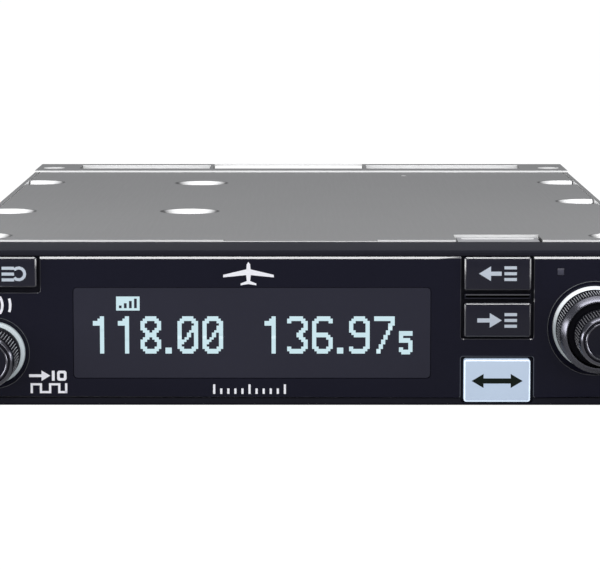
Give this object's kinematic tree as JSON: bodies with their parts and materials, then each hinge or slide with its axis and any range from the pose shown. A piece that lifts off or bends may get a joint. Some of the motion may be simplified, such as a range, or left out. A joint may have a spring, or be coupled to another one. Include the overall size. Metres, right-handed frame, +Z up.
{
  "type": "panel mounted air-band transceiver",
  "caption": "Panel-mounted air-band radio: wide display, press keys, volume knob and concentric tuning knobs on a slim front panel, sliding into a sheet metal tray.",
  "frame": {"origin": "centre of the bounding box at the level the radio stands on", "axes": "+X to the right across the front panel, +Y back from the panel to the rear sockets, +Z up"},
  "size_m": [0.16, 0.2938, 0.0349],
  "materials": {
    "black_plastic": "fine satin texture",
    "gloss_black": "gloss",
    "ice_plastic": "translucent, lit from behind",
    "smoked_clear": "smoked and polished",
    "display_glass": "polished",
    "silicone": "matt",
    "board_green": "solder mask",
    "grey_metal": "satin",
    "cast_metal": "as cast",
    "tray_metal": "grey conversion coating, satin",
    "tin_plate": "tinned",
    "steel": "machined",
    "nickel": "nickel plated",
    "brass": "machined",
    "copper": "enamelled copper winding",
    "white_plastic": "low friction",
    "capacitor_sleeve": "sleeved can",
    "cable_grey": "satin"
  },
  "bodies": {
    "tray": {"tray_pan": "tray_metal", "tray_top_plate": "tray_metal", "tray_rear_strip": "tray_metal", "guide_strip_left": "white_plastic", "guide_strip_right": "white_plastic", "earth_spring": "nickel"},
    "radio": {"front_bezel": "black_plastic", "bezel_screw_left_lower": "steel", "bezel_screw_left_upper": "steel", "bezel_screw_right_lower": "steel", "bezel_screw_right_upper": "steel", "faceplate": "gloss_black", "sensor_window": "smoked_clear", "display_lens": "smoked_clear", "display_module": "display_glass", "display_holder": "black_plastic", "keypad_sheet_left": "silicone", "keypad_sheet_right": "silicone", "control_board": "board_green", "volume_control": "grey_metal", "volume_light_ring": "ice_plastic", "tuning_encoder": "grey_metal", "tuning_light_ring": "ice_plastic", "chassis_frame": "cast_metal", "top_cover": "tray_metal", "cover_screw_left": "steel", "cover_screw_right": "steel", "main_board": "board_green", "rf_shield": "tin_plate", "synthesizer_shield": "tin_plate", "reference_oscillator": "tin_plate", "supply_capacitor": "capacitor_sleeve", "supply_choke": "copper", "power_amplifier": "black_plastic", "flat_cable": "cable_grey", "rear_heatsink": "cast_metal", "data_connector_shell": "tin_plate", "data_connector_insert": "black_plastic", "jack_post_left": "steel", "jack_post_right": "steel", "antenna_jack": "nickel", "antenna_insulator": "white_plastic"},
    "function_button": {"function_key": "gloss_black", "function_pad": "silicone"},
    "recall_button": {"recall_key": "gloss_black", "recall_pad": "silicone"},
    "memory_button": {"memory_key": "gloss_black", "memory_pad": "silicone"},
    "swap_button": {"swap_key": "ice_plastic", "swap_pad": "silicone"},
    "volume_push_part": {"volume_plunger": "brass"},
    "volume_dial": {"volume_knob": "black_plastic", "volume_shaft": "grey_metal"},
    "tuning_outer_dial": {"tuning_outer_knob": "black_plastic", "tuning_sleeve": "grey_metal"},
    "tuning_push_part": {"tuning_plunger": "brass"},
    "tuning_inner_dial": {"tuning_inner_knob": "black_plastic", "tuning_shaft": "grey_metal"},
    "lock": {"lock_rod": "steel"}
  },
  "joints": [
    {"name": "radio_slide", "type": "slide", "parent": "tray", "child": "radio", "axis": [0, -1, 0], "range_m": [0, 0.24]},
    {"name": "function_press", "type": "slide", "parent": "radio", "child": "function_button", "axis": [0, 1, 0], "range_m": [0, 0.0005], "stiffness_N_per_m": 1500},
    {"name": "recall_press", "type": "slide", "parent": "radio", "child": "recall_button", "axis": [0, 1, 0], "range_m": [0, 0.0005], "stiffness_N_per_m": 1500},
    {"name": "memory_press", "type": "slide", "parent": "radio", "child": "memory_button", "axis": [0, 1, 0], "range_m": [0, 0.0005], "stiffness_N_per_m": 1500},
    {"name": "swap_press", "type": "slide", "parent": "radio", "child": "swap_button", "axis": [0, 1, 0], "range_m": [0, 0.0005], "stiffness_N_per_m": 1500},
    {"name": "volume_press", "type": "slide", "parent": "radio", "child": "volume_push_part", "axis": [0, 1, 0], "range_m": [0, 0.0005], "stiffness_N_per_m": 3000},
    {"name": "volume_turn", "type": "hinge", "parent": "volume_push_part", "child": "volume_dial", "pos_m": [-0.0667, -0.1241, 0.01156], "axis": [0, 1, 0], "range_deg": [-150, 150]},
    {"name": "tuning_outer_turn", "type": "hinge", "parent": "radio", "child": "tuning_outer_dial", "pos_m": [0.064, -0.1241, 0.017], "axis": [0, 1, 0], "continuous": true},
    {"name": "tuning_press", "type": "slide", "parent": "radio", "child": "tuning_push_part", "axis": [0, 1, 0], "range_m": [0, 0.0005], "stiffness_N_per_m": 3000},
    {"name": "tuning_inner_turn", "type": "hinge", "parent": "tuning_push_part", "child": "tuning_inner_dial", "pos_m": [0.064, -0.1241, 0.017], "axis": [0, 1, 0], "continuous": true},
    {"name": "lock_turn", "type": "hinge", "parent": "radio", "child": "lock", "pos_m": [0.07, -0.0641, 0.0062], "axis": [0, -1, 0], "range_deg": [0, 90]}
  ]
}
